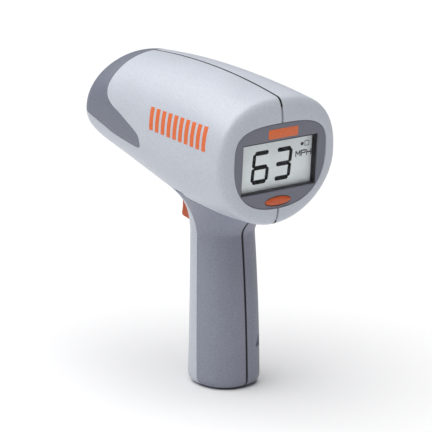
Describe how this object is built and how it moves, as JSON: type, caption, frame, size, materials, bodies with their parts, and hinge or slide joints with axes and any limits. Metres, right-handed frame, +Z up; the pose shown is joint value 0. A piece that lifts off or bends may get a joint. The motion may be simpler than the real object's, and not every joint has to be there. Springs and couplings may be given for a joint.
{
  "type": "speed radar gun",
  "caption": "Hand-held speed radar gun: a two-half barrel body with a domed nose cap, a recessed rear display, an upright battery handle, a trigger and a power button.",
  "frame": {"origin": "middle of the object's box at the height of the handle's flat base", "axes": "+Z up from the handle's base to the top of the body, +Y forward to the nose, +X to the gun's right"},
  "size_m": [0.1072, 0.1524, 0.2123],
  "materials": {
    "light_housing": "satin silver-grey moulded plastic with a fine spark texture",
    "dark_housing": "satin blue-grey moulded plastic with a fine spark texture",
    "bezel": "satin dark grey plastic",
    "black_plastic": "matt black moulded plastic",
    "window": "clear acrylic",
    "lcd": "grey-green liquid crystal panel",
    "elastomer": "layered conductive elastomer",
    "circuit_board": "green solder mask on glass-fibre laminate",
    "orange_plastic": "satin orange plastic",
    "cast_metal": "die-cast, lightly grained",
    "lens_plastic": "translucent white low-loss plastic",
    "bright_steel": "plated steel",
    "screw_steel": "zinc-plated steel",
    "battery_case": "printed steel can with a plastic sleeve",
    "ribbon": "amber flexible circuit",
    "red_wire": "red insulated wire",
    "black_wire": "black insulated wire"
  },
  "bodies": {
    "gun": {"left_housing": "light_housing", "right_housing": "light_housing", "nose_cap": "dark_housing", "left_grip_panel": "dark_housing", "display_bezel": "bezel", "lcd_frame": "black_plastic", "trigger_bracket": "black_plastic", "battery_tray": "black_plastic", "trigger_switch": "black_plastic", "power_button_switch": "black_plastic", "processor_chip": "black_plastic", "amplifier_chip": "black_plastic", "buzzer": "black_plastic", "display_window": "window", "lcd_glass": "lcd", "elastomer_strip_upper": "elastomer", "elastomer_strip_lower": "elastomer", "display_board": "circuit_board", "main_board": "circuit_board", "horn_antenna": "cast_metal", "transceiver_housing": "cast_metal", "transceiver_cover": "cast_metal", "horn_lens": "lens_plastic", "oscillator_can": "bright_steel", "battery_spring": "bright_steel", "battery_contact": "bright_steel", "trigger_spring": "bright_steel", "trigger_pin": "bright_steel", "housing_screw_1": "screw_steel", "housing_screw_2": "screw_steel", "housing_screw_3": "screw_steel", "housing_screw_4": "screw_steel", "housing_screw_5": "screw_steel", "display_board_screw_1": "screw_steel", "display_board_screw_2": "screw_steel", "display_board_screw_3": "screw_steel", "display_board_screw_4": "screw_steel", "main_board_screw_1": "screw_steel", "main_board_screw_2": "screw_steel", "horn_screw_1": "screw_steel", "horn_screw_2": "screw_steel", "horn_screw_3": "screw_steel", "horn_screw_4": "screw_steel", "bracket_screw_1": "screw_steel", "bracket_screw_2": "screw_steel", "battery_cell_lower": "battery_case", "battery_cell_upper": "battery_case", "ribbon_cable": "ribbon", "ribbon_connector": "ribbon", "battery_wire_positive": "red_wire", "battery_wire_negative": "black_wire"},
    "trigger": {"trigger": "orange_plastic"},
    "power_button": {"power_button": "orange_plastic"},
    "battery_door": {"battery_door": "dark_housing"}
  },
  "joints": [
    {"name": "trigger_pull", "type": "hinge", "parent": "gun", "child": "trigger", "pos_m": [0, 0.004, 0.1355], "axis": [-1, 0, 0], "range_deg": [0, 7], "stiffness_Nm_per_rad": 0.25, "springref_deg": -11.46, "deforming": ["trigger_spring"]},
    {"name": "power_button_press", "type": "slide", "parent": "gun", "child": "power_button", "axis": [0, 1, 0], "range_m": [0, 0.001], "stiffness_N_per_m": 300, "springref_m": -0.002},
    {"name": "battery_door_release", "type": "slide", "parent": "gun", "child": "battery_door", "axis": [0.7071, -0.7071, 0], "range_m": [0, 0.04]}
  ]
}
